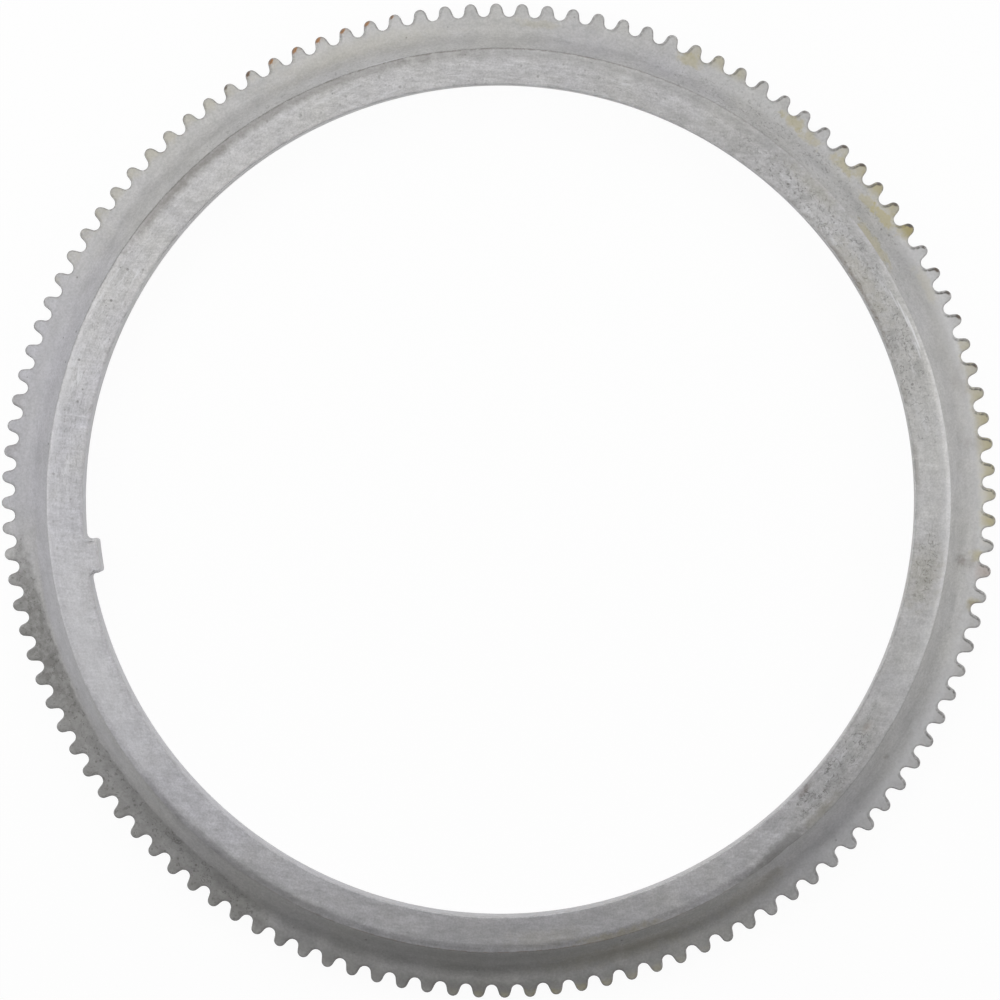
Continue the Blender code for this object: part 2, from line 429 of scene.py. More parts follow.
def tooth_rust(from_tab, chance):
    """How rusty the leading corner of a tooth is."""
    share = chance.uniform(0.25, 1.0)
    fresh = worn("tooth_fresh_rust", from_tab) * mix(0.6, 1.0, share)
    return max(worn("tooth_old_rust", from_tab) * share, fresh)


def set_in(point, inset):
    """The place of a rim point, set into the metal."""
    return point.centre + point.direction * (point.radius - point.inward * inset)


def side_row(rim, height):
    """A level row on the outer side of the teeth."""
    places = [set_in(point, 0.0) for point in rim]
    return plain_row([(place.x, place.y, height) for place in places])


def back_edge_rows(rim, wear):
    """Rows of the broken edge at the back of the teeth, from the back outwards."""
    rows = []
    for inset, height in ((BACK_RIM_WIDTHS, 0.0), (0.6, 0.03), (0.15, 0.25)):
        places = [set_in(point, inset * wear.edge_break) for point in rim]
        rows.append(plain_row([(place.x, place.y, height * wear.edge_break) for place in places]))
    return rows


def front_edge_rows(rim, section, wear):
    """Rows of the tooth edges at the front: a plain break that turns into a rolled edge.

    Each row has its inset and drop on a plain edge and on a rolled one, as shares of the edge
    break and of the rolled edge's width, then how dark it is made along the edge on both, and how much
    its rubbing brightens it.
    """
    profile = (
        ((0.00, 1.00), (0.00, 1.15), (0.80, 0.90), 0.0),
        ((0.14, 0.50), (0.10, 0.62), (0.85, 0.85), 0.0),
        ((0.45, 0.14), (0.34, 0.30), (0.60, 0.45), 0.3),
        ((1.00, 0.00), (0.66, 0.28), (0.28, 0.80), 0.3),
        ((1.55, 0.00), (0.96, 0.52), (0.12, 1.20), 0.0),
        ((2.10, 0.00), (1.34, 0.04), (0.00, 1.10), 0.0),
    )
    rows = []
    for plain, rolled, dirt, rubbed in profile:
        points = []
        for point in rim:
            inset = mix(plain[0] * wear.edge_break, rolled[0] * wear.rolled_edge, point.roll)
            drop = mix(plain[1] * wear.edge_break, rolled[1] * wear.rolled_edge, point.roll)
            place = set_in(point, inset)
            points.append((place.x, place.y, section.flange_height(place.length) - drop))
        dirts = [mix(*dirt, point.roll) for point in rim]
        rows.append(Row(points, dirts, [rubbed] * len(rim), [point.rust for point in rim], FORGED))
    return rows


def tooth_face_rows(rim, section, wear):
    """Rows that lead from the set-in outline of the teeth to a round row on the flange."""
    angles = column_angles(section, wear, FINE_COLUMNS)
    round_radius = round_row_radius(section)
    rows = []
    for share in TOOTH_FACE_SHARES:
        points = []
        for angle, point in zip(angles, rim):
            start = turned(set_in(point, TOOTH_FACE_INSET), -angle)
            # The columns turn late, so that they stay apart in the necks of the teeth
            start_angle = math.atan2(start.y, start.x)
            place = polar(mix(start.length, round_radius, share), angle + start_angle * (1.0 - share**3))
            points.append((place.x, place.y, section.flange_height(place.length)))
        rusts = [point.rust * max(0.45 - 1.5 * share, 0.0) for point in rim]
        rows.append(plain_row(points)._replace(rust=rusts))
    return rows


def crest_recess(wear, from_tab):
    """How far the crest is knocked in at an angle in degrees."""
    shares = [knock.depth * window(from_tab, knock.place, knock.reach) for knock in KNOCKS]
    ragged = 1.0 + 0.35 * wander(math.radians(from_tab), 60.0, 8.5)
    return wear.dent_depth * max(shares) * ragged


def shoulder_share(from_tab):
    """How much of the shoulder the turned land has left at an angle in degrees."""
    left = 0.72 * min(1.6 * window(from_tab, 352.0, 42.0), 1.0)
    right = 0.55 * min(1.4 * window(from_tab, 168.0, 45.0), 1.0)
    return 1.0 - max(left, right)


def crest_place(section, wear, angle):
    """Radius of the crest, which is turned a little off the axis, at an angle."""
    from_tab = angle - section.shape.tab_direction
    shift = wear.hub_shift * math.cos(from_tab - wear.shift_place)
    wandering = wear.crest_wander * (wander(angle, 9.0, 1.5) + 0.5 * wander(angle, 40.0, 2.5))
    return section.crest + shift + wandering - crest_recess(wear, math.degrees(from_tab))


def softened(size, soft):
    """A size of the crest for how soft it is worn."""
    sharp, gain = size
    return sharp + gain * soft


def hub_profile(section, wear, angle):
    """Points of the section from the flange to the land."""
    shape = section.shape
    from_tab = math.degrees(angle - shape.tab_direction)
    share = shoulder_share(from_tab)
    crest_radius = crest_place(section, wear, angle)
    crest = Vector((crest_radius, section.hub_height(crest_radius, share)))
    valley = Vector((section.valley, section.valley_height))
    dish_radius = section.valley + 0.3 * shape.valley_fillet
    dish = Vector((dish_radius, section.flange_height(dish_radius)))
    foot = fillet(dish, valley, crest, shape.valley_fillet, HUB_FOOT_STEPS)
    lead_radius = (round_row_radius(section) + foot[0].x) / 2.0
    profile = [HubPoint(lead_radius, section.flange_height(lead_radius))]
    profile += [HubPoint(*point) for point in foot]
    wall_start = foot[-1]
    down = (wall_start - crest).normalized()
    inner_radius = crest_radius - SLOPE_WIDTH
    inwards = (Vector((inner_radius, section.hub_height(inner_radius, share))) - crest).normalized()
    # The crest is worn soft in one place and has a burr, or lip, with a groove behind it elsewhere
    soft = LEAST_SOFTNESS + window(from_tab, 38.0, 16.0)
    lip = wear.crest_lip * worn("crest_lip", from_tab) * (0.7 + 0.6 * wander(angle, 25.0, 4.5))
    wall_end = crest + down * softened(WALL_END, soft) * MM
    profile += [HubPoint(*wall_start.lerp(wall_end, step / 2.0)) for step in (1, 2)]
    cut = (down + inwards).normalized() * CREST_CUT * MM * soft
    outer = crest + down * softened(CREST_OUTER, soft) * MM + cut * 0.5
    top = crest + cut + Vector((0.0, lip))
    inner = crest + inwards * softened(CREST_INNER, soft) * MM + cut * 0.6 + Vector((0.0, lip * 0.4))
    groove = crest + inwards * softened(CREST_GROOVE, soft) * MM + cut * 0.3
    end_radius = (crest + inwards * softened(CREST_END, soft) * MM).x
    # The crest line is darkened with painted shade, most at the picture's top where the lip's inner side
    # faces away from the top lamp
    dirt_and_shade_share, light, stain = (worn(kind, from_tab) for kind in ("crest_dirt_and_shade", "crest_highlight", "crest_rust"))
    # The top, inner and groove rows of the crest carry a painted highlight along the crest
    profile += [
        HubPoint(*outer, 0.5 * dirt_and_shade_share, 0.0, 0.6 * stain, FORGED),
        HubPoint(*top, dirt_and_shade_share, 0.4 * light, stain, MACHINED),
        HubPoint(*inner, 0.5 * dirt_and_shade_share, light, 0.0, MACHINED),
        HubPoint(*groove, 0.0, 0.5 * light, 0.0, MACHINED),
    ]
    land_radius = min(section.land, crest_radius - LEAST_SHOULDER)
    for step in range(SHOULDER_STEPS + 1):
        radius = mix(end_radius, land_radius, step / SHOULDER_STEPS)
        profile.append(HubPoint(radius, section.hub_height(radius, share), finish=MACHINED))
    return profile


def round_row_radius(section):
    """Radius of the row on the flange where the teeth's columns end."""
    return section.gap_floor - ROUND_ROW_INSET


def column_angles(section, wear, columns):
    """Angles of all columns, given how many belong to a tooth."""
    step = section.pitch / columns
    places = [drifted(wear, column * step) for column in range(section.shape.tooth_count * columns)]
    return [section.shape.tab_direction + place for place in places]


def hub_rows(section, wear):
    """Rows of the flange, the wall and the hub up to the land."""
    angles = column_angles(section, wear, ROUND_COLUMNS)
    profiles = [hub_profile(section, wear, angle) for angle in angles]
    rows = []
    for column in zip(*profiles):
        points = []
        for angle, given in zip(angles, column):
            uneven = wear.waviness * noise.noise(Vector((*polar(given.radius * 90.0, angle), 3.0)))
            points.append((*polar(given.radius, angle), min(given.height + uneven, section.shape.height)))
        dirts, rubs, rusts = ([given[value] for given in column] for value in (2, 3, 4))
        rows.append(Row(points, dirts, rubs, rusts, column[0].finish))
    return rows


def half_tab(section, inset):
    """Points of half the key tab, from its middle to the bore, for a tab that stands on +X."""
    shape = section.shape
    half_width = shape.tab_width / 2.0
    tip = section.bore - shape.tab_protrusion
    corner_angle = math.asin((half_width - shape.tab_corner) / (tip + shape.tab_corner))
    root_angle = math.asin((half_width + shape.tab_root) / (section.bore - shape.tab_root))
    corner_centre = polar(tip + shape.tab_corner, corner_angle)
    root_centre = polar(section.bore - shape.tab_root, root_angle)
    points = [polar(tip + inset, corner_angle * step / TAB_TIP_STEPS) for step in range(TAB_TIP_STEPS)]
    for step in range(TAB_CORNER_STEPS + 1):
        angle = mix(HALF_TURN + corner_angle, QUARTER, step / TAB_CORNER_STEPS)
        points.append(corner_centre + polar(shape.tab_corner - inset, angle))
    for step in range(TAB_ROOT_STEPS + 1):
        angle = mix(-QUARTER, root_angle, step / TAB_ROOT_STEPS)
        points.append(root_centre + polar(shape.tab_root + inset, angle))
    return points


def bore_points(section, wear, angles, insets):
    """Points of the bore and its key tab on the round columns, each set in by its own depth."""
    shape = section.shape
    shift = polar(wear.hub_shift, shape.tab_direction + wear.shift_place)
    tab_columns = TAB_TIP_STEPS + TAB_CORNER_STEPS + TAB_ROOT_STEPS + 1
    points = [polar(section.bore + inset, angle) for angle, inset in zip(angles, insets)]
    for column in range(tab_columns + 1):
        place = half_tab(section, insets[column])[column]
        points[column] = turned(place, shape.tab_direction)
        if column:
            other = half_tab(section, insets[-column])[column]
            points[-column] = turned(Vector((other.x, -other.y)), shape.tab_direction)
    return [point + shift for point in points]


def land_rows(section, wear, angles, edge_row):
    """Rows of the flat land, from the shoulder to the bore's edge."""
    width = BORE_RIM_WIDTHS * section.shape.bore_chamfer
    bore_edge = bore_points(section, wear, angles, [width] * len(angles))
    rows = []
    for step in range(1, LAND_STEPS + 1):
        share = step / LAND_STEPS
        places = [Vector(outer[:2]).lerp(inner, share) for outer, inner in zip(edge_row.points, bore_edge)]
        heights = [mix(outer[2], section.shape.height, share) for outer in edge_row.points]
        rows.append(plain_row([(*place, height) for place, height in zip(places, heights)], MACHINED))
    return rows


def bore_rows(section, wear, angles):
    """Rows of the bore, from its front edge break down the wall to its back edge break.

    Each row has its inset and depth as shares of the edge break, how dark it is made, its rubbing and its
    rust.
    """
    shape = section.shape
    profile = (
        (2.40, 0.00, 0.5, 0.1, 0.0),
        (0.98, 0.12, 0.1, 1.0, 0.0),
        (0.14, 0.90, 0.1, 1.0, 0.0),
        (0.00, 1.12, 0.3, 1.0, 1.0),
        (0.00, 6.50, 0.0, 0.2, 0.0),
    )
    width = [1.0 + 0.22 * wander(angle, 30.0, 6.5) + 0.18 * wander(angle, 90.0, 7.5) for angle in angles]
    from_tab = [math.degrees(angle - shape.tab_direction) for angle in angles]
    front, back = [], []
    for inset, depth, dirt, rubbed, rusty in profile:
        insets = [inset * shape.bore_chamfer * share for share in width]
        depths = [depth * shape.bore_chamfer * share for share in width]
        places = bore_points(section, wear, angles, insets)
        dirts = [dirt * worn("bore_dirt", place) for place in from_tab]
        rubs = [rubbed * worn("bore_shine", place) for place in from_tab]
        rusts = [rusty * worn("bore_rust", place) for place in from_tab]
        values = (dirts, rubs, rusts, MACHINED)
        front.append(Row([(*place, shape.height - drop) for place, drop in zip(places, depths)], *values))
        back.append(Row([(*place, rise) for place, rise in zip(places, depths)], *values))
    return front + back[::-1]


def back_rows(section, angles, rim, wear):
    """Rows of the flat back, from the bore to the teeth, on the round columns."""
    width = BORE_RIM_WIDTHS * section.shape.bore_chamfer
    inner = bore_points(section, wear, angles, [width] * len(angles))
    outer = [set_in(point, BACK_RIM_WIDTHS * wear.edge_break) for point in rim[::2]]
    rows = []
    for share in BACK_SHARES:
        places = [start.lerp(end, share) for start, end in zip(inner, outer)]
        rows.append(plain_row([(*place, 0.0) for place in places]))
    return rows


def weave(mesh, upper, lower, finish):
    """Faces between two rows of points, which may differ by a factor of two."""
    step = 2 * len(lower) // len(upper)
    faces = []
    if len(upper) == len(lower):
        for column, corner in enumerate(upper):
            faces.append((upper[column - 1], corner, lower[column], lower[column - 1]))
    elif step == 1:
        for column in range(len(lower)):
            after = (column + 1) % len(lower)
            first, middle, last = (upper[(2 * column + place) % len(upper)] for place in range(3))
            faces.append((first, middle, lower[column]))
            faces.append((middle, lower[after], lower[column]))
            faces.append((middle, last, lower[after]))
    else:
        for column in range(len(upper)):
            after = (column + 1) % len(upper)
            first, middle, last = (lower[(2 * column + place) % len(lower)] for place in range(3))
            faces.append((upper[column], middle, first))
            faces.append((upper[column], upper[after], middle))
            faces.append((upper[after], last, middle))
    for corners in faces:
        mesh.faces.new(corners).material_index = finish


def ring_rows(section, wear):
    """All rows of the skin, in order round the section, from the teeth over the hub to the back."""
    rim = rim_points(section, wear)
    angles = column_angles(section, wear, ROUND_COLUMNS)
    rows = [side_row(rim, wear.edge_break)]
    rows += front_edge_rows(rim, section, wear)
    rows += tooth_face_rows(rim, section, wear)
    rows += hub_rows(section, wear)
    rows += land_rows(section, wear, angles, rows[-1])
    rows += bore_rows(section, wear, angles)
    rows += back_rows(section, angles, rim, wear)
    rows += back_edge_rows(rim, wear)
    return rows


def build_skin(rows, materials):
    """The skin as one object with its darkening, painted shade along the crest among it, its rubbing and
    painted highlight, and its rust kept on its points.
    """
    skin = bmesh.new()
    loops = [[skin.verts.new(point) for point in row.points] for row in rows]
    for place, row in enumerate(rows):
        weave(skin, loops[place], loops[(place + 1) % len(rows)], row.finish)
    skin.normal_update()
    data = bpy.data.meshes.new(RING_PIECE)
    skin.to_mesh(data)
    skin.free()
    for name in ("dirt", "rubbed", "rust"):
        attribute = data.attributes.new(name, "FLOAT", "POINT")
        attribute.data.foreach_set("value", [value for row in rows for value in getattr(row, name)])
    for material in materials:
        data.materials.append(material)
    data.shade_smooth()
    return bpy.data.objects.new(RING_PIECE, data)


# Shader nodes


def connect(tree, socket, value):
    """Feed a socket from another socket, or set its value."""
    if isinstance(value, NodeSocket):
        tree.links.new(value, socket)
    elif hasattr(value, "__len__") and len(value) == 3 and socket.type == "RGBA":
        socket.default_value = (*value, 1.0)
    else:
        socket.default_value = value


def add_node(tree, kind, inputs, **settings):
    """A node with its settings and inputs."""
    node = tree.nodes.new(kind)
    for name, value in settings.items():
        setattr(node, name, value)
    for name, value in inputs.items():
        connect(tree, node.inputs[name], value)
    return node


def maths(tree, operation, *values, clamp=False):
    """Result of a sum on numbers."""
    node = add_node(tree, "ShaderNodeMath", dict(enumerate(values)), operation=operation, use_clamp=clamp)
    return node.outputs["Value"]


def vector_maths(tree, operation, *values, output="Vector"):
    """Result of a sum on vectors."""
    node = add_node(tree, "ShaderNodeVectorMath", dict(enumerate(values)), operation=operation)
    return node.outputs[output]


def combined(tree, x, y, z):
    """A vector from its three parts."""
    return add_node(tree, "ShaderNodeCombineXYZ", {"X": x, "Y": y, "Z": z}).outputs[0]


def remap(tree, value, low, high, to_low=0.0, to_high=1.0):
    """A value eased from one range into another."""
    inputs = {"Value": value, "From Min": low, "From Max": high, "To Min": to_low, "To Max": to_high}
    node = add_node(tree, "ShaderNodeMapRange", inputs, interpolation_type="SMOOTHSTEP")
    return node.outputs["Result"]


def blend(tree, share, first, second, blend_type="MIX"):
    """A mix of two colours."""
    node = tree.nodes.new("ShaderNodeMix")
    node.data_type = "RGBA"
    node.blend_type = blend_type
    connect(tree, node.inputs[0], share)
    connect(tree, node.inputs[6], first)
    connect(tree, node.inputs[7], second)
    return node.outputs[2]


def noise_value(tree, vector, scale, detail=2.0, roughness=0.5):
    """Soft noise between 0 and 1."""
    inputs = {"Vector": vector, "Scale": scale, "Detail": detail, "Roughness": roughness}
    return add_node(tree, "ShaderNodeTexNoise", inputs).outputs["Fac"]


def object_place(tree):
    """Coordinates on the object."""
    return tree.nodes.new("ShaderNodeTexCoord").outputs["Object"]


def attribute_value(tree, name):
    """A value kept on the skin's points."""
    return add_node(tree, "ShaderNodeAttribute", {}, attribute_name=name).outputs["Fac"]


def new_group(name, inputs, outputs):
    """An empty node group, with the sockets to read from and to write to."""
    group = bpy.data.node_groups.new(name, "ShaderNodeTree")
    for label, kind, value in inputs:
        socket = group.interface.new_socket(label, in_out="INPUT", socket_type=kind)
        if value is not None:
            socket.default_value = value
    for label, kind in outputs:
        group.interface.new_socket(label, in_out="OUTPUT", socket_type=kind)
    return group, group.nodes.new("NodeGroupInput").outputs, group.nodes.new("NodeGroupOutput").inputs


def use_group(tree, group, **inputs):
    """A placed node group with its own values."""
    node = tree.nodes.new("ShaderNodeGroup")
    node.node_tree = group
    for name, value in inputs.items():
        connect(tree, node.inputs[name.replace("_", " ").title()], value)
    return node.outputs


FLOAT = "NodeSocketFloat"
VECTOR = "NodeSocketVector"


def ring_place_group(tab_direction, middle_radius):
    """Where a point lies on the ring: its angle from the tab with its radius, and its height.

    Round is a place for streaks: it turns with the angle and has no seam, and Stretch sets how
    much longer the streaks are along the rim than across it.
    """
    outputs = (("Place", VECTOR), ("Height", FLOAT), ("Round", VECTOR))
    group, given, made = new_group("Ring Place", (("Stretch", FLOAT, 6.0),), outputs)
    parts = add_node(group, "ShaderNodeSeparateXYZ", {"Vector": object_place(group)}).outputs
    angle = maths(group, "ARCTAN2", parts["Y"], parts["X"])
    from_tab = maths(group, "SUBTRACT", angle, tab_direction)
    flat = combined(group, parts["X"], parts["Y"], 0.0)
    radius = vector_maths(group, "LENGTH", flat, output="Value")
    around = vector_maths(group, "NORMALIZE", flat)
    ring = vector_maths(group, "MULTIPLY", around, (middle_radius,) * 3)
    across = maths(group, "SUBTRACT", radius, parts["Z"])
    lift = combined(group, 0.0, 0.0, maths(group, "MULTIPLY", across, given["Stretch"]))
    connect(group, made["Place"], combined(group, from_tab, radius, 0.0))
    connect(group, made["Height"], parts["Z"])
    connect(group, made["Round"], vector_maths(group, "ADD", ring, lift))
    return group


def patch_group():
    """Mask of a patch round the ring, with an edge broken by a noise round zero given as Rough."""
    inputs = (
        ("Place", VECTOR, None),
        ("Rough", FLOAT, 0.0),
        ("Angle", FLOAT, 0.0),
        ("Reach", FLOAT, 0.1),
        ("Middle", FLOAT, 0.1),
        ("Half Width", FLOAT, 0.002),
        ("Softness", FLOAT, 0.4),
        ("Ragged", FLOAT, 0.5),
        ("Strength", FLOAT, 1.0),
    )
    group, given, made = new_group("Patch", inputs, (("Mask", FLOAT),))
    centre = combined(group, given["Angle"], given["Middle"], 0.0)
    size = combined(group, given["Reach"], given["Half Width"], 1.0)
    off = vector_maths(group, "SUBTRACT", given["Place"], centre)
    off = vector_maths(group, "WRAP", off, (math.pi, 1.0, 1.0), (-math.pi, -1.0, -1.0))
    share = vector_maths(group, "DIVIDE", off, size)
    # The distance from the middle has the power of three, which squares the patch's corners a little
    squares = vector_maths(group, "MULTIPLY", share, share)
    lengths = vector_maths(group, "ABSOLUTE", share)
    cubes = vector_maths(group, "DOT_PRODUCT", squares, lengths, output="Value")
    distance = maths(group, "POWER", cubes, 1.0 / 3.0)
    edge = maths(group, "MULTIPLY_ADD", given["Rough"], given["Ragged"], distance)
    start = maths(group, "SUBTRACT", 1.0, given["Softness"])
    connect(group, made["Mask"], remap(group, edge, 1.0, start, 0.0, given["Strength"]))
    return group


def grain_group():
    """Fine blasted grain with a coarser unevenness under it, both between 0 and 1."""
    inputs = (("Vector", VECTOR, None), ("Fine", FLOAT, 2600.0), ("Coarse", FLOAT, 380.0))
    outputs = (("Grain", FLOAT), ("Cloud", FLOAT))
    group, given, made = new_group("Blasted Grain", inputs, outputs)
    connect(group, made["Grain"], noise_value(group, given["Vector"], given["Fine"], 2.0, 0.6))
    connect(group, made["Cloud"], noise_value(group, given["Vector"], given["Coarse"], 5.0, 0.62))
    return group


def pit_group():
    """Mask of small round pits in a share of the cells of an uneven grid."""
    inputs = (("Vector", VECTOR, None), ("Grid", FLOAT, 700.0), ("Share", FLOAT, 0.2), ("Size", FLOAT, 0.25))
    group, given, made = new_group("Pits", inputs, (("Mask", FLOAT),))
    cells = add_node(group, "ShaderNodeTexVoronoi", {"Vector": given["Vector"], "Scale": given["Grid"]})
    chance = add_node(group, "ShaderNodeSeparateColor", {"Color": cells.outputs["Color"]}).outputs
    chosen = maths(group, "LESS_THAN", chance["Red"], given["Share"])
    size = maths(group, "MULTIPLY", given["Size"], remap(group, chance["Green"], 0.0, 1.0, 0.5, 1.0))
    start = maths(group, "MULTIPLY", size, 0.45)
    hole = remap(group, cells.outputs["Distance"], size, start)
    connect(group, made["Mask"], maths(group, "MULTIPLY", hole, chosen))
    return group


def scratch_group():
    """Streaks that run in one direction, and a mask of the thin broken scratches among them."""
    inputs = (
        ("Turn", FLOAT, 0.0),
        ("Fineness", FLOAT, 1400.0),
        ("Length", FLOAT, 14.0),
        ("Share", FLOAT, 0.15),
    )
    group, given, made = new_group("Scratches", inputs, (("Streaks", FLOAT), ("Mask", FLOAT)))
    axis = {"Vector": object_place(group), "Angle": given["Turn"]}
    turned_place = add_node(group, "ShaderNodeVectorRotate", axis, rotation_type="Z_AXIS").outputs["Vector"]
    parts = add_node(group, "ShaderNodeSeparateXYZ", {"Vector": turned_place}).outputs
    along = maths(group, "DIVIDE", parts["X"], given["Length"])
    squeezed = combined(group, along, parts["Y"], parts["Z"])
    lines = noise_value(group, squeezed, given["Fineness"], 1.0, 0.5)
    level = maths(group, "SUBTRACT", 0.80, maths(group, "MULTIPLY", given["Share"], 0.4))
    connect(group, made["Streaks"], lines)
    connect(group, made["Mask"], remap(group, lines, level, maths(group, "ADD", level, 0.07)))
    return group


def squiggle_group():
    """Mask of short crooked marks, as flaked scale and old corrosion leave them."""
    inputs = (
        ("Vector", VECTOR, None),
        ("Scale", FLOAT, 500.0),
        ("Width", FLOAT, 0.03),
        ("Share", FLOAT, 0.5),
    )
    group, given, made = new_group("Squiggles", inputs, (("Mask", FLOAT),))
    settings = {"Vector": given["Vector"], "Scale": given["Scale"], "Detail": 4.0, "Distortion": 0.7}
    folded = add_node(group, "ShaderNodeTexNoise", settings).outputs["Fac"]
    ridge = maths(group, "ABSOLUTE", maths(group, "SUBTRACT", folded, 0.5))
    line = remap(group, ridge, given["Width"], maths(group, "MULTIPLY", given["Width"], 0.3))
    breaks = noise_value(group, given["Vector"], maths(group, "MULTIPLY", given["Scale"], 1.7), 2.0, 0.6)
    level = maths(group, "SUBTRACT", 0.66, maths(group, "MULTIPLY", given["Share"], 0.32))
    left = remap(group, breaks, level, maths(group, "ADD", level, 0.08))
    connect(group, made["Mask"], maths(group, "MULTIPLY", line, left))
    return group


Stain = namedtuple("Stain", "angle reach radius width colour strength ragged")

# Stains on the forged front and teeth, with painted shade and light among them: the broad film
# patches round the picture's bottom are painted shade, and the broad bright patches,
# such as at the tooth roots, are painted light. Degrees from the tab and millimetres from the axis
FRONT_STAINS_AND_PAINTED_LIGHT = (
    # The first three patches, round the picture's bottom, are painted shade
    Stain(80.0, 46.0, 105.5, 4.0, "film", 0.25, 0.5),
    Stain(76.0, 52.0, 112.4, 3.2, "film", 0.50, 0.5),
    Stain(82.0, 42.0, 104.2, 1.6, "film", 0.22, 0.4),
    Stain(186.0, 36.0, 108.0, 3.0, "film", 0.24, 0.7),
    Stain(198.0, 22.0, 108.8, 2.6, "film", 0.20, 0.7),
    Stain(26.0, 24.0, 112.0, 2.4, "film", 0.20, 0.6),
    Stain(82.0, 14.0, 112.0, 2.4, "film", 0.26, 0.6),
    Stain(126.0, 12.0, 112.0, 2.2, "film", 0.10, 0.6),
    Stain(255.0, 46.0, 108.2, 2.2, "film", 0.12, 0.7),
    Stain(342.0, 40.0, 109.3, 3.0, "film", 0.20, 0.6),
    Stain(144.0, 28.0, 111.4, 4.4, "bright", 0.52, 0.6),
    Stain(190.0, 44.0, 111.0, 3.4, "bright", 0.36, 0.7),
    Stain(128.0, 26.0, 108.6, 4.0, "bright", 0.16, 0.7),
    Stain(16.0, 30.0, 104.6, 2.8, "bright", 0.24, 0.5),
    Stain(255.0, 62.0, 112.6, 2.6, "bright", 0.14, 0.8),
    Stain(290.0, 42.0, 104.6, 1.6, "bright", 0.14, 0.7),
    Stain(173.0, 10.0, 111.6, 2.2, "bright", 0.60, 0.7),
    Stain(230.0, 16.0, 109.2, 3.0, "bright", 0.22, 0.7),
    Stain(277.0, 16.0, 110.6, 3.0, "bright", 0.20, 0.7),
    Stain(97.0, 10.0, 108.4, 2.2, "bright", 0.09, 0.9),
    Stain(179.0, 15.0, 112.9, 3.6, "yellow", 0.66, 0.6),
    Stain(206.0, 3.0, 112.9, 3.2, "yellow", 0.95, 0.7),
    Stain(205.6, 3.0, 112.9, 3.2, "brown", 0.14, 0.9),
    Stain(212.0, 8.0, 112.9, 3.2, "yellow", 0.70, 0.8),
    Stain(235.5, 6.5, 112.9, 3.0, "yellow", 0.42, 1.0),
    Stain(280.0, 16.0, 108.6, 4.0, "yellow", 0.12, 1.0),
    Stain(98.0, 14.0, 107.0, 3.2, "yellow", 0.14, 1.5),
    Stain(100.0, 9.0, 106.3, 1.6, "brown", 0.10, 1.6),
    Stain(116.0, 7.0, 106.6, 3.0, "yellow", 0.12, 1.5),
    Stain(96.0, 14.0, 113.4, 1.8, "yellow", 0.30, 1.6),
    Stain(84.0, 12.0, 113.5, 1.5, "yellow", 0.28, 1.6),
    Stain(164.8, 1.1, 108.4, 3.6, "brown", 0.22, 1.7),
    Stain(165.2, 1.0, 106.6, 1.5, "brown", 0.24, 1.9),
    Stain(165.8, 1.0, 110.6, 2.4, "yellow", 0.55, 1.2),
    Stain(160.0, 1.2, 111.4, 2.2, "yellow", 0.60, 1.3),
    Stain(159.8, 0.8, 111.2, 1.8, "brown", 0.28, 1.5),
    Stain(164.0, 1.6, 112.6, 3.2, "rust", 0.26, 1.3),
    Stain(170.2, 1.6, 112.6, 3.2, "yellow", 0.60, 0.8),
    Stain(151.0, 14.0, 112.8, 2.8, "brown", 0.14, 1.7),
    Stain(138.0, 12.0, 112.8, 2.6, "brown", 0.10, 1.7),
    Stain(186.8, 2.6, 109.4, 3.0, "brown", 0.14, 1.8),
    Stain(345.8, 2.0, 112.8, 2.8, "brown", 0.22, 1.6),
    Stain(340.0, 3.0, 112.8, 2.6, "brown", 0.18, 1.7),
    Stain(306.0, 26.0, 112.9, 2.6, "yellow", 0.22, 1.5),
    Stain(138.9, 0.5, 106.2, 0.8, "brown", 0.30, 1.5),
    Stain(118.5, 1.8, 105.9, 1.4, "brown", 0.25, 1.6),
    Stain(284.0, 9.0, 113.8, 1.6, "rust", 0.16, 1.6),
    Stain(179.2, 1.4, 109.6, 3.6, "brown", 0.16, 1.9),
    Stain(275.5, 5.5, 103.64, 0.18, "bright", 0.80, 0.3),
    Stain(217.0, 8.0, 105.2, 1.6, "bright", 0.20, 0.9),
)

# Dried oil with ragged edges on the dished front and on the crest
OIL_BLOTS = (
    Stain(190.0, 2.0, 112.6, 2.0, "yellow", 0.30, 1.6),
    Stain(208.6, 2.6, 109.6, 1.7, "yellow", 0.62, 2.2),
    Stain(211.2, 1.8, 108.9, 1.3, "yellow", 0.42, 2.2),
    Stain(216.4, 2.4, 110.0, 1.4, "yellow", 0.50, 2.2),
    Stain(221.6, 1.8, 109.6, 1.6, "yellow", 0.42, 2.2),
    Stain(224.4, 2.2, 110.2, 1.7, "yellow", 0.50, 2.2),
    Stain(207.0, 4.2, 104.2, 1.3, "yellow", 0.42, 2.3),
    Stain(199.0, 3.0, 109.8, 1.6, "yellow", 0.16, 2.2),
    Stain(238.7, 2.0, 110.2, 1.9, "yellow", 0.46, 1.8),
    Stain(257.5, 3.0, 109.6, 1.2, "yellow", 0.16, 2.0),
)

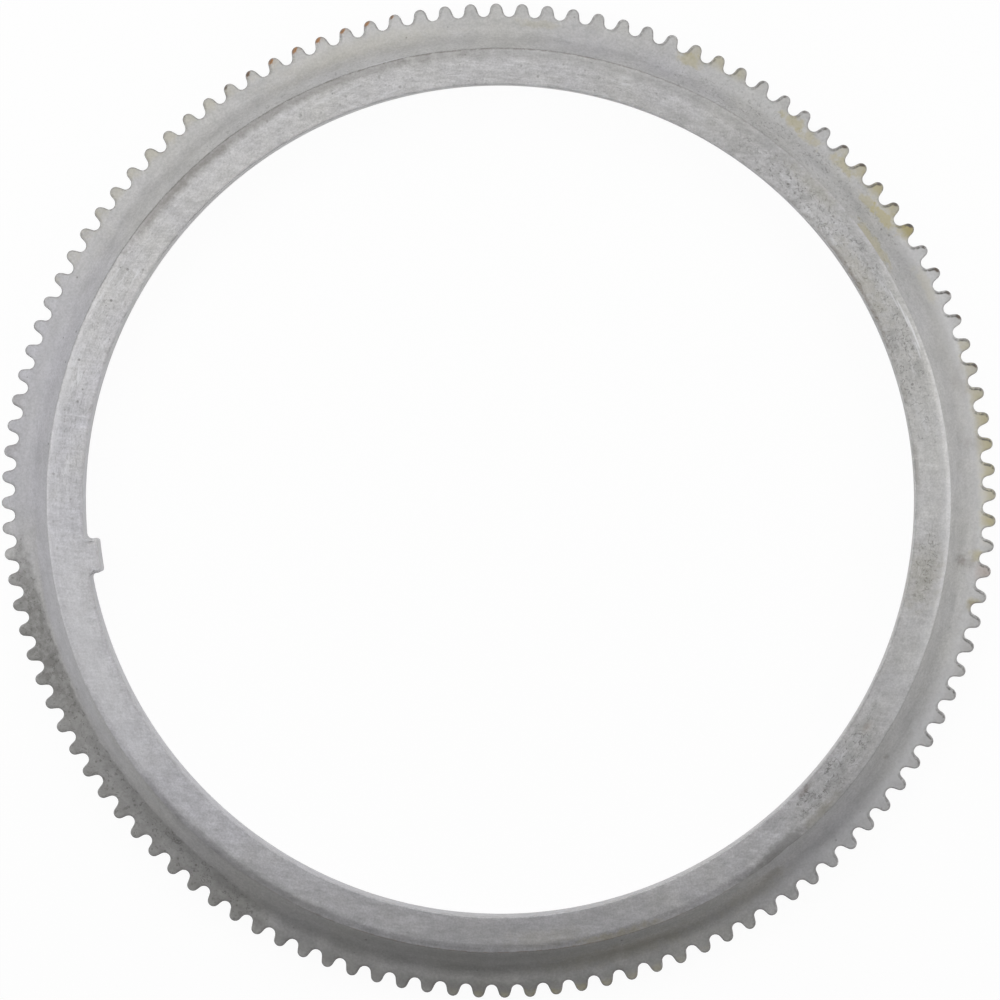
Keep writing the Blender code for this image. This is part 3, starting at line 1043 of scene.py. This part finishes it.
# Stains on the land and the shoulder, with painted shade and light among them: the broad film
# patches on the land at the picture's bottom and along the shoulder are painted shade, and the broad
# bright patches, such as on the shoulder at the picture's left and right, are painted light
HUB_STAINS_AND_PAINTED_LIGHT = (
    Stain(82.0, 46.0, 98.5, 6.5, "film", 0.29, 0.4),
    Stain(48.0, 24.0, 102.2, 2.4, "film", 0.34, 0.7),
    Stain(122.0, 16.0, 102.6, 1.8, "film", 0.10, 0.9),
    Stain(137.0, 30.0, 98.5, 6.0, "film", 0.06, 0.7),
    Stain(14.0, 24.0, 99.5, 5.0, "bright", 0.34, 0.5),
    Stain(338.0, 16.0, 102.5, 2.0, "bright", 0.30, 0.9),
    Stain(166.0, 34.0, 102.4, 1.8, "bright", 0.30, 0.7),
    Stain(180.0, 16.0, 98.5, 5.0, "bright", 0.20, 0.9),
    Stain(148.0, 20.0, 98.5, 5.0, "bright", 0.14, 0.9),
    Stain(205.0, 18.0, 98.8, 5.0, "bright", 0.20, 0.9),
    Stain(126.0, 10.0, 102.2, 1.6, "bright", 0.12, 0.9),
    Stain(250.0, 52.0, 102.4, 2.0, "film", 0.36, 0.7),
    Stain(292.0, 38.0, 102.7, 1.8, "film", 0.46, 0.8),
    Stain(307.0, 15.0, 102.5, 2.4, "film", 0.44, 0.8),
    Stain(212.0, 34.0, 102.3, 2.2, "film", 0.20, 0.8),
    Stain(94.0, 34.0, 98.6, 5.5, "film", 0.08, 0.8),
    Stain(290.0, 34.0, 102.7, 1.7, "brown", 0.10, 1.2),
    Stain(310.0, 14.0, 102.3, 2.4, "brown", 0.14, 1.3),
    Stain(240.0, 22.0, 96.8, 3.0, "film", 0.14, 1.4),
    Stain(206.0, 6.5, 99.4, 4.0, "film", 0.10, 1.9),
    Stain(196.0, 13.0, 98.0, 4.4, "film", 0.12, 1.9),
    Stain(229.0, 7.0, 98.6, 3.2, "film", 0.14, 1.8),
    Stain(204.0, 9.0, 97.6, 3.2, "yellow", 0.14, 1.8),
    Stain(162.0, 6.0, 99.0, 6.0, "yellow", 0.13, 1.8),
    Stain(163.0, 5.0, 99.2, 5.0, "film", 0.14, 1.9),
    Stain(149.5, 6.5, 97.2, 3.0, "film", 0.16, 1.8),
    Stain(141.0, 5.4, 99.4, 3.4, "film", 0.16, 1.9),
    Stain(134.0, 7.0, 99.6, 3.6, "film", 0.18, 1.9),
    Stain(140.8, 1.4, 98.8, 1.2, "rust", 0.12, 1.4),
    Stain(129.0, 4.6, 102.6, 1.8, "film", 0.26, 1.8),
    Stain(128.6, 4.0, 102.4, 1.8, "yellow", 0.14, 1.8),
    Stain(176.0, 3.0, 95.9, 0.9, "brown", 0.25, 1.2),
    Stain(179.0, 1.6, 96.0, 0.8, "brown", 0.22, 1.2),
    Stain(187.2, 2.0, 96.2, 0.8, "brown", 0.22, 1.2),
    Stain(204.0, 14.0, 96.1, 0.6, "brown", 0.38, 2.2),
    Stain(129.0, 2.2, 96.2, 0.9, "brown", 0.45, 1.3),
    Stain(88.0, 7.0, 100.8, 3.4, "yellow", 0.10, 1.5),
    Stain(97.5, 8.0, 102.9, 1.8, "yellow", 0.36, 1.8),
    Stain(217.0, 7.0, 101.8, 2.4, "yellow", 0.10, 1.6),
)

# Dark patches below the knocked-in crest: forging skin that the turning tool left, painted darker as the
# shade of the dent
DENT_SKIN_AND_SHADE = (
    Stain(119.4, 5.4, 103.4, 1.5, "scale_grey", 0.40, 1.2),
    Stain(121.7, 4.2, 103.3, 3.6, "scale_grey", 0.48, 1.0),
)

# Bright streaks that a tool left beside the crest
CREST_STREAKS = (
    Stain(194.6, 2.8, 102.5, 0.26, "bright", 0.75, 0.9),
    Stain(197.0, 2.4, 102.1, 0.24, "bright", 0.70, 0.9),
    Stain(199.2, 1.8, 101.6, 0.22, "bright", 0.60, 0.9),
    Stain(192.2, 1.4, 102.0, 0.24, "bright", 0.60, 0.9),
)


# What dirt, scale, rust and the painted shade laid with them leave of the gloss, and how deep the relief of
# the surface is
DULL_METALLIC = 0.2
DULL_ROUGHNESS = 0.15
RELIEF_DEPTH = 0.04 * MM


class Effects:
    """The node groups that both steels share."""

    def __init__(self, section):
        middle_radius = (section.bore + section.tip) / 2.0
        self.place = ring_place_group(section.shape.tab_direction, middle_radius)
        self.patch = patch_group()
        self.grain = grain_group()
        self.pits = pit_group()
        self.scratches = scratch_group()
        self.squiggles = squiggle_group()


def new_material(name):
    """A material with its node tree and shader."""
    material = bpy.data.materials.new(name)
    material.use_nodes = True
    return material, material.node_tree, material.node_tree.nodes["Principled BSDF"]


class Steel:
    """A steel in the making: its nodes, where each point lies, and its colour so far."""

    def __init__(self, name, effects, finish, stretch):
        self.material, self.tree, self.shader = new_material(name)
        self.effects = effects
        self.finish = finish
        self.place = use_group(self.tree, effects.place, stretch=stretch)
        self.spot = object_place(self.tree)
        self.edges = {}
        self.colour = None

    def chain(self, operation, values):
        """Result of one sum on some values, taken in their order."""
        total = values[0]
        for value in values[1:]:
            total = maths(self.tree, operation, total, value)
        return total

    def plus(self, *values):
        """Sum of some values."""
        return self.chain("ADD", values)

    def times(self, *values):
        """Product of some values."""
        return self.chain("MULTIPLY", values)

    def most(self, *values):
        """The greatest of some values."""
        return self.chain("MAXIMUM", values)

    def eased(self, value, low, high, to_low=0.0, to_high=1.0):
        """A value eased from one range into another."""
        return remap(self.tree, value, low, high, to_low, to_high)

    def noise(self, scale, detail, roughness, vector=None):
        """Soft noise between 0 and 1, on the object unless a vector is given."""
        return noise_value(self.tree, self.spot if vector is None else vector, scale, detail, roughness)

    def marks(self, effect, vector=None, **inputs):
        """Mask of a kind of marks."""
        inputs["vector"] = self.spot if vector is None else vector
        return use_group(self.tree, effect, **inputs)["Mask"]

    def edge_noise(self, grain):
        """Noise round zero that breaks the edges of patches, made once for each grain."""
        if grain not in self.edges:
            self.edges[grain] = maths(self.tree, "SUBTRACT", self.noise(grain, 4.0, 0.6), 0.5)
        return self.edges[grain]

    def patch(self, angle, reach, radius, width, ragged=0.6, softness=0.5, grain=600.0, strength=1.0):
        """Mask of a patch given in degrees from the tab and millimetres from the axis."""
        inputs = {
            "place": self.place["Place"],
            "rough": self.edge_noise(grain),
            "angle": math.radians(angle),
            "reach": math.radians(reach),
            "middle": radius * MM,
            "half_width": width * MM,
            "softness": softness,
            "ragged": ragged,
            "strength": strength,
        }
        return use_group(self.tree, self.effects.patch, **inputs)["Mask"]

    def tint(self, name):
        """One of the finish's colours."""
        return tuple(getattr(self.finish, name))

    def paint(self, share, colour, blend_type="MIX"):
        """Lay a colour, or the finish's colour of a name, over the steel."""
        over = self.tint(colour) if isinstance(colour, str) else colour
        self.colour = blend(self.tree, share, self.colour, over, blend_type)

    def stain(self, stains, softness):
        """Lay a list of stains, painted shade and painted light over the steel."""
        for stain in stains:
            shape = (stain.angle, stain.reach, stain.radius, stain.width, stain.ragged)
            self.paint(self.patch(*shape, softness, strength=stain.strength), stain.colour)

    def lay_base(self, lightness, warmth, cloud, depth, grain, contrast):
        """Bare steel between its cool and warm greys, made uneven by clouds and by grains."""
        cool = [channel * lightness for channel in self.finish.cool_steel]
        warm = [channel * lightness for channel in self.finish.warm_steel]
        self.colour = blend(self.tree, warmth, cool, warm)
        self.paint(1.0, self.eased(cloud, 0.28, 0.72, 1.0 - depth, 1.0 + depth), "MULTIPLY")
        self.paint(1.0, self.eased(grain, 0.25, 0.75, 1.0 - contrast, 1.0 + contrast), "MULTIPLY")

    def drifting(self, scale):
        """Slow drift between cool and warm, round zero."""
        return self.times(maths(self.tree, "SUBTRACT", self.noise(scale, 3.0, 0.6), 0.5), 1.2)

    def dirt_and_shade_share(self, breakup, low, high, least, most):
        """Lay the dark colour that the skin's points hold along the tooth edges, the crest and the bore, with
        painted shade along the crest, and give its mask.
        """
        share = self.times(attribute_value(self.tree, "dirt"), self.eased(breakup, low, high, least, most))
        self.paint(share, "dirt")
        return share

    def lay_rubbed_and_highlight(self, cloud, least, most):
        """Brighten the edges by their rubbing, and paint the highlight along the crest, as the skin's points
        hold them.
        """
        rubbed = attribute_value(self.tree, "rubbed")
        self.paint(self.times(rubbed, self.eased(cloud, 0.35, 0.65, least, most)), "bright")

    def finished(self, dull, cloud, smoother, rougher, height, strength):
        """The material, with its colour, gloss and relief on the shader."""
        finish = self.finish
        rough = self.eased(cloud, 0.3, 0.7, finish.roughness - smoother, finish.roughness + rougher)
        inputs = {"Height": height, "Strength": strength, "Distance": RELIEF_DEPTH}
        bump = add_node(self.tree, "ShaderNodeBump", inputs)
        shader_inputs = {
            "Base Color": self.colour,
            "Metallic": self.eased(dull, 0.0, 1.0, finish.metallic, DULL_METALLIC),
            "Roughness": self.plus(rough, self.times(dull, DULL_ROUGHNESS)),
            "Normal": bump.outputs["Normal"],
        }
        for name, value in shader_inputs.items():
            connect(self.tree, self.shader.inputs[name], value)
        return self.material


def forged_steel(effects, finish):
    """Blasted forging: wall, dished front, teeth, outer side and back."""
    steel = Steel("forged_steel", effects, finish, 3.0)
    tree = steel.tree
    grain = use_group(tree, effects.grain, vector=steel.spot, fine=1900.0, coarse=230.0)
    cool = steel.most(
        steel.patch(338.0, 26.0, 108.0, 9.0, 0.5, 0.5, 160.0),
        steel.patch(357.0, 34.0, 104.6, 2.2, 0.4, 0.5, 160.0),
        steel.patch(127.0, 22.0, 108.0, 9.0, 0.5, 0.9, strength=0.5),
        steel.patch(244.0, 17.0, 106.5, 6.0, 0.5, 0.9, strength=0.7),
    )
    warm = steel.plus(steel.drifting(50.0), 0.80)
    warmth = maths(tree, "SUBTRACT", warm, steel.times(cool, 0.75), clamp=True)
    streaks = steel.noise(150.0, 5.0, 0.65, steel.place["Round"])
    cloud = blend(tree, 0.45, grain["Cloud"], streaks)
    steel.lay_base(finish.forged_lightness, warmth, cloud, 0.13, grain["Grain"], 0.10)

    # Only the front holds the dark scale, which is partly painted shade, and the stains with their painted
    # light and shade
    front = steel.eased(steel.place["Height"], 1.0 * MM, 3.5 * MM)
    # The scale patch on the flange beside the tab is real scale and also painted shade, made darker there,
    # and darker still near the tab, where less light falls
    scale_and_shade_patch = steel.most(
        steel.patch(25.5, 29.5, 110.9, 4.7, 0.40, 0.14, 480.0),
        steel.patch(35.0, 19.0, 109.2, 3.2, 0.35, 0.14, 480.0),
    )
    scale_and_shade_patch = steel.times(scale_and_shade_patch, front)
    near_tab = steel.patch(10.0, 14.0, 110.0, 8.0, 0.4, 0.9, strength=0.30)
    mottle = steel.eased(steel.noise(420.0, 4.0, 0.7), 0.38, 0.62, 0.70, 1.25)
    scale_and_shade_share = steel.times(scale_and_shade_patch, steel.plus(0.42, near_tab), mottle)
    steel.paint(scale_and_shade_share, "scale_grey")

    pits = steel.marks(effects.pits, grid=620.0, share=0.07, size=0.24)
    dense = steel.marks(effects.pits, grid=900.0, share=0.50, size=0.36)
    flakes = steel.marks(effects.squiggles, scale=520.0, width=0.035, share=0.55)
    flaking = steel.most(
        scale_and_shade_patch,
        steel.patch(222.0, 30.0, 107.0, 6.0, 1.2, 0.8),
        steel.patch(290.0, 30.0, 104.6, 1.4, 1.2, 0.8, strength=0.8),
        0.10,
    )
    peppered = steel.patch(224.0, 34.0, 106.5, 7.0, 1.0, 0.8, strength=0.38)
    speckle = steel.times(dense, steel.most(steel.times(scale_and_shade_patch, 0.5), peppered))
    dark = steel.most(steel.times(pits, 0.55), speckle, steel.times(flakes, flaking, 0.45))
    steel.paint(dark, "dirt")

    bare = steel.colour
    steel.stain(FRONT_STAINS_AND_PAINTED_LIGHT, 0.9)
    steel.stain(OIL_BLOTS, 0.6)
    steel.colour = blend(tree, front, bare, steel.colour)

    breakup = steel.noise(1500.0, 3.0, 0.6)
    rust = steel.times(attribute_value(tree, "rust"), steel.plus(breakup, 0.35))
    rusty = steel.eased(rust, 0.22, 0.75)
    fresh = steel.patch(282.0, 13.0, 112.0, 4.0)
    steel.paint(rusty, blend(tree, fresh, steel.tint("brown"), steel.tint("rust")))
    dirt_and_shade_share = steel.dirt_and_shade_share(breakup, 0.34, 0.57, 0.22, 1.00)
    steel.lay_rubbed_and_highlight(grain["Cloud"], 0.1, 0.6)
    dull = steel.most(rusty, dirt_and_shade_share, scale_and_shade_share)
    height = maths(tree, "SUBTRACT", steel.plus(grain["Grain"], grain["Cloud"]), dark)
    return steel.finished(dull, grain["Cloud"], 0.03, 0.07, height, 0.45)


def machined_steel(effects, finish):
    """Ground and worn hub front: land, shoulder and bore."""
    steel = Steel("machined_steel", effects, finish, 5.0)
    tree = steel.tree
    grain = use_group(tree, effects.grain, vector=steel.spot, fine=2200.0, coarse=330.0)
    cool = steel.patch(50.0, 105.0, 99.0, 12.0, 0.4, 0.6, 120.0, 0.50)
    warm = steel.patch(184.0, 26.0, 99.0, 12.0, 0.5, 0.9, 160.0, 0.4)
    bias = maths(tree, "SUBTRACT", warm, cool)
    warmth = maths(tree, "ADD", steel.plus(steel.drifting(60.0), 0.62), bias, clamp=True)
    streaks = steel.noise(200.0, 5.0, 0.68, steel.place["Round"])
    turn = math.radians(-167.0)
    lay = use_group(tree, effects.scratches, turn=turn, fineness=1500.0, length=6.0, share=0.25)
    cloud = blend(tree, 0.25, blend(tree, 0.45, grain["Cloud"], streaks), lay["Streaks"])
    steel.lay_base(finish.machined_lightness, warmth, cloud, 0.21, grain["Grain"], 0.12)

    scaly = steel.most(
        steel.patch(204.0, 32.0, 98.8, 5.0, 0.9, 0.6),
        steel.patch(134.0, 13.0, 98.9, 4.2, 0.9, 0.6),
        steel.patch(163.0, 7.0, 99.0, 4.0, 1.2, 0.7, strength=0.9),
    )
    pitted = steel.most(
        scaly,
        steel.patch(332.0, 32.0, 99.0, 6.0, 0.9, 0.6),
        steel.patch(265.0, 50.0, 99.0, 6.0, 0.9, 0.6, strength=0.7),
        0.12,
    )
    blotches = steel.eased(steel.noise(330.0, 4.0, 0.7), 0.46, 0.64)
    steel.paint(steel.times(blotches, scaly, 0.46), "film")
    pale = steel.eased(steel.noise(120.0, 4.0, 0.7, steel.place["Round"]), 0.52, 0.70)
    steel.paint(steel.times(pale, pitted, 0.68), "bright")

    flakes = steel.marks(effects.squiggles, scale=560.0, width=0.035, share=0.55)
    small = steel.marks(effects.squiggles, steel.place["Round"], scale=300.0, width=0.04, share=0.50)
    pits = steel.marks(effects.pits, grid=640.0, share=0.30, size=0.30)
    dots = steel.marks(effects.pits, grid=1250.0, share=0.40, size=0.36)
    marks = steel.most(
        steel.times(flakes, scaly, 0.70),
        steel.times(small, steel.most(pitted, 0.3), 0.32),
        steel.times(pits, pitted, 0.55),
        steel.times(dots, scaly, 0.45),
    )
    steel.paint(marks, "dirt")
    steel.paint(steel.times(lay["Mask"], 0.25), "bright")
    steel.stain(HUB_STAINS_AND_PAINTED_LIGHT, 0.9)
    steel.stain(CREST_STREAKS + DENT_SKIN_AND_SHADE, 0.4)

    breakup = steel.noise(700.0, 3.0, 0.65)
    dirt_and_shade_share = steel.dirt_and_shade_share(breakup, 0.35, 0.62, 0.15, 0.85)
    rust = steel.times(attribute_value(tree, "rust"), steel.eased(breakup, 0.40, 0.60))
    steel.paint(rust, "rust")
    steel.lay_rubbed_and_highlight(grain["Cloud"], 0.15, 0.65)
    dull = steel.most(dirt_and_shade_share, marks, rust)
    height = maths(tree, "SUBTRACT", steel.plus(grain["Grain"], streaks, lay["Streaks"]), marks)
    return steel.finished(dull, cloud, 0.04, 0.08, height, 0.4)


# Studio

Lamp = namedtuple("Lamp", "setting azimuth elevation distance width height")

# Softboxes round the ring: azimuth anticlockwise from the picture's right, in degrees
LAMPS = (
    Lamp("top_lamp", 90.0, 35.0, 0.9, 0.9, 0.5),
    Lamp("right_lamp", 5.0, 30.0, 0.45, 0.35, 0.25),
    Lamp("left_lamp", 175.0, 30.0, 0.45, 0.35, 0.25),
    Lamp("upper_left_lamp", 140.0, 60.0, 0.45, 0.3, 0.3),
    Lamp("high_left_lamp", 175.0, 60.0, 0.45, 0.3, 0.3),
    Lamp("high_right_lamp", 5.0, 60.0, 0.45, 0.3, 0.3),
    Lamp("overhead", 90.0, 80.0, 1.0, 0.7, 0.7),
)


def picture_axes(studio):
    """The picture's right and up, as directions on the floor."""
    right = Vector((math.cos(studio.picture_turn), -math.sin(studio.picture_turn), 0.0))
    up = Vector((math.sin(studio.picture_turn), math.cos(studio.picture_turn), 0.0))
    return right, up


def look_at(place, target, up):
    """Matrix of a lamp or camera at a place that looks at a target, with a direction kept up."""
    forward = (target - place).normalized()
    right = forward.cross(up).normalized()
    upright = right.cross(forward)
    turn = Matrix((right, upright, -forward)).transposed()
    return Matrix.Translation(place) @ turn.to_4x4()


def link(thing):
    """Put an object into the scene."""
    bpy.context.scene.collection.objects.link(thing)
    return thing


def add_lamp(lamp, power, studio):
    """One softbox that looks at the ring's middle."""
    right, up = picture_axes(studio)
    azimuth = math.radians(lamp.azimuth)
    elevation = math.radians(lamp.elevation)
    level = right * math.cos(azimuth) + up * math.sin(azimuth)
    direction = level * math.cos(elevation) + Vector((0.0, 0.0, math.sin(elevation)))
    data = bpy.data.lights.new(lamp.setting, "AREA")
    data.shape = "RECTANGLE"
    data.size = lamp.width
    data.size_y = lamp.height
    data.energy = power
    softbox = link(bpy.data.objects.new(lamp.setting, data))
    softbox.matrix_world = look_at(direction * lamp.distance, Vector(), Vector((0.0, 0.0, 1.0)))
    softbox.visible_camera = False


def floor_material(studio):
    """Pale floor that the camera sees close to white and that keeps the ring's shadow."""
    material, tree, shader = new_material("pale_floor")
    shader.inputs["Base Color"].default_value = (*studio.floor_colour, 1.0)
    shader.inputs["Roughness"].default_value = 0.9
    shader.inputs["Specular IOR Level"].default_value = 0.0
    path = tree.nodes.new("ShaderNodeLightPath").outputs
    seen = maths(tree, "MULTIPLY", path["Is Camera Ray"], studio.floor_seen)
    mirrored = maths(tree, "MAXIMUM", path["Is Glossy Ray"], path["Is Transmission Ray"])
    mirrored = maths(tree, "MULTIPLY", mirrored, studio.floor_mirrored)
    white = add_node(tree, "ShaderNodeEmission", {"Color": (1.0, 1.0, 1.0), "Strength": 1.0})
    share = maths(tree, "MAXIMUM", seen, mirrored)
    both = add_node(tree, "ShaderNodeMixShader", {0: share})
    connect(tree, both.inputs[1], shader.outputs["BSDF"])
    connect(tree, both.inputs[2], white.outputs["Emission"])
    connect(tree, tree.nodes["Material Output"].inputs["Surface"], both.outputs["Shader"])
    return material


def add_floor(studio):
    """A wide flat floor just under the ring."""
    surface = bmesh.new()
    bmesh.ops.create_grid(surface, x_segments=1, y_segments=1, size=6.0)
    data = bpy.data.meshes.new("floor")
    surface.to_mesh(data)
    surface.free()
    data.materials.append(floor_material(studio))
    ground = link(bpy.data.objects.new("floor", data))
    ground.location.z = CAD_LOW.z - 0.1 * MM


def add_camera(studio):
    """Camera high over the ring, looking down on it."""
    right, up = picture_axes(studio)
    data = bpy.data.cameras.new("camera")
    data.sensor_width = 36.0
    data.lens = studio.lens
    data.clip_end = 50.0
    camera = link(bpy.data.objects.new("camera", data))
    place = right * studio.camera_right + up * studio.camera_up + Vector((0.0, 0.0, studio.camera_height))
    aim = right * studio.aim_right + up * studio.aim_up
    camera.matrix_world = look_at(place, aim, up)
    bpy.context.scene.camera = camera


def set_world(studio):
    """Plain pale surroundings."""
    world = bpy.data.worlds.new("studio")
    world.use_nodes = True
    background = world.node_tree.nodes["Background"]
    background.inputs["Color"].default_value = (1.0, 1.0, 1.0, 1.0)
    background.inputs["Strength"].default_value = studio.sky
    bpy.context.scene.world = world
    bpy.context.scene.view_settings.view_transform = "Standard"


class BuildRing(Operator):
    """Build the finished skin of the ring and hide the plain solid under it"""

    bl_idname = "tone_ring.build_ring"
    bl_label = "Build Ring"

    def execute(self, context):
        scene = context.scene
        section = Section(scene.tone_ring_shape)
        effects = Effects(section)
        materials = [
            machined_steel(effects, scene.tone_ring_finish),
            forged_steel(effects, scene.tone_ring_finish),
        ]
        ring = link(build_skin(ring_rows(section, scene.tone_ring_wear), materials))
        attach(ring, "root")
        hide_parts(RING_NODE)
        return {"FINISHED"}


class BuildStage(Operator):
    """Set up the floor, the lamps, the surroundings and the camera"""

    bl_idname = "tone_ring.build_stage"
    bl_label = "Build Stage"

    def execute(self, context):
        studio = context.scene.tone_ring_studio
        add_floor(studio)
        set_world(studio)
        for lamp in LAMPS:
            add_lamp(lamp, getattr(studio, lamp.setting), studio)
        add_camera(studio)
        return {"FINISHED"}


class ToneRingPanel(Panel):
    """Sizes, wear, finish and studio of the tone ring"""

    bl_idname = "VIEW3D_PT_tone_ring"
    bl_label = "Tone Ring"
    bl_space_type = "VIEW_3D"
    bl_region_type = "UI"
    bl_category = "Tone Ring"

    def draw(self, context):
        for name, (label, kind) in SETTINGS.items():
            box = self.layout.box()
            box.label(text=label)
            for setting in kind.__annotations__:
                box.prop(getattr(context.scene, name), setting)
        for operator in OPERATORS:
            self.layout.operator(operator.bl_idname)


SETTINGS = {
    "tone_ring_shape": ("Shape", RingShape),
    "tone_ring_wear": ("Wear", RingWear),
    "tone_ring_finish": ("Finish", RingFinish),
    "tone_ring_studio": ("Studio", Studio),
}
OPERATORS = (BuildRing, BuildStage)


def register():
    """Register the settings, the operators and the panel."""
    for name, (label, kind) in SETTINGS.items():
        bpy.utils.register_class(kind)
        setattr(bpy.types.Scene, name, PointerProperty(name=label, type=kind))
    for kind in (*OPERATORS, ToneRingPanel):
        bpy.utils.register_class(kind)


def unregister():
    """Take the panel, the operators and the settings away again."""
    for kind in (ToneRingPanel, *reversed(OPERATORS)):
        bpy.utils.unregister_class(kind)
    for name, (label, kind) in SETTINGS.items():
        delattr(bpy.types.Scene, name)
        bpy.utils.unregister_class(kind)


def main():
    """Build everything."""
    register()
    bpy.ops.tone_ring.build_ring()
    bpy.ops.tone_ring.build_stage()


if __name__ == "__main__":
    main()
